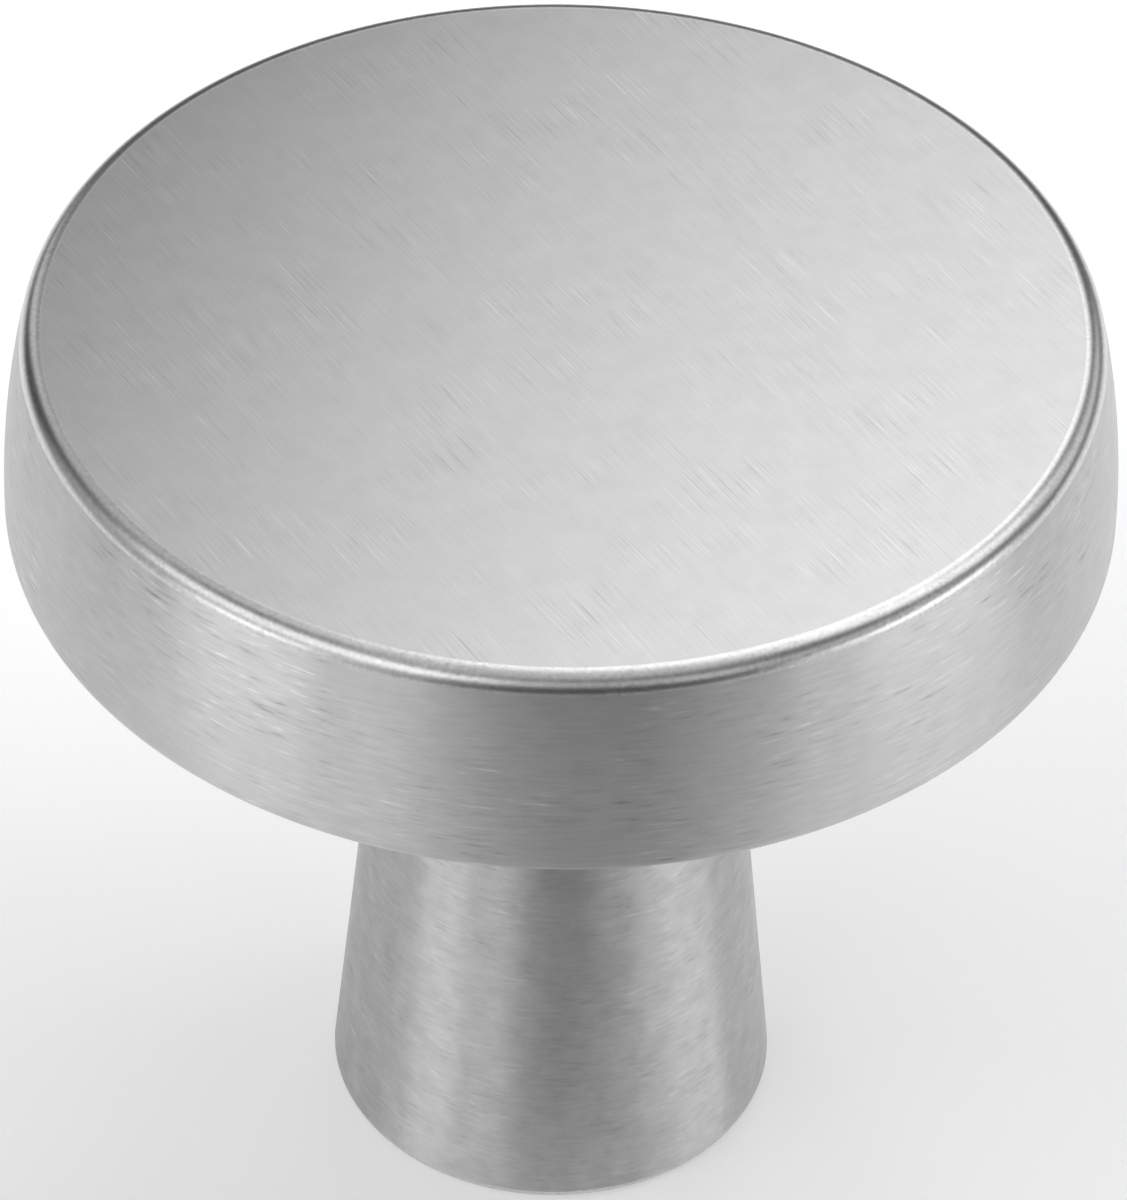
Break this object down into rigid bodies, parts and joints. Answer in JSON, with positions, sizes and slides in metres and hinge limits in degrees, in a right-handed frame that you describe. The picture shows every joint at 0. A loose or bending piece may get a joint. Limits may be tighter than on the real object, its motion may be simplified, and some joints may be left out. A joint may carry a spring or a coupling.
{
  "type": "cabinet knob",
  "caption": "Round cabinet or drawer knob with a wide flat head on a stem that widens towards its foot, screwed on from behind.",
  "frame": {"origin": "centre of the foot, where the knob meets the furniture", "axes": "+Z along the knob's own axis, from the furniture out to the face; X and Y are any two square directions, because the form is turned"},
  "size_m": [0.03, 0.03, 0.027],
  "materials": {
    "knob": "satin nickel plate on a zinc casting, brushed straight across the face and round the wall and stem"
  },
  "bodies": {
    "root": {"knob": "knob"}
  },
  "joints": []
}
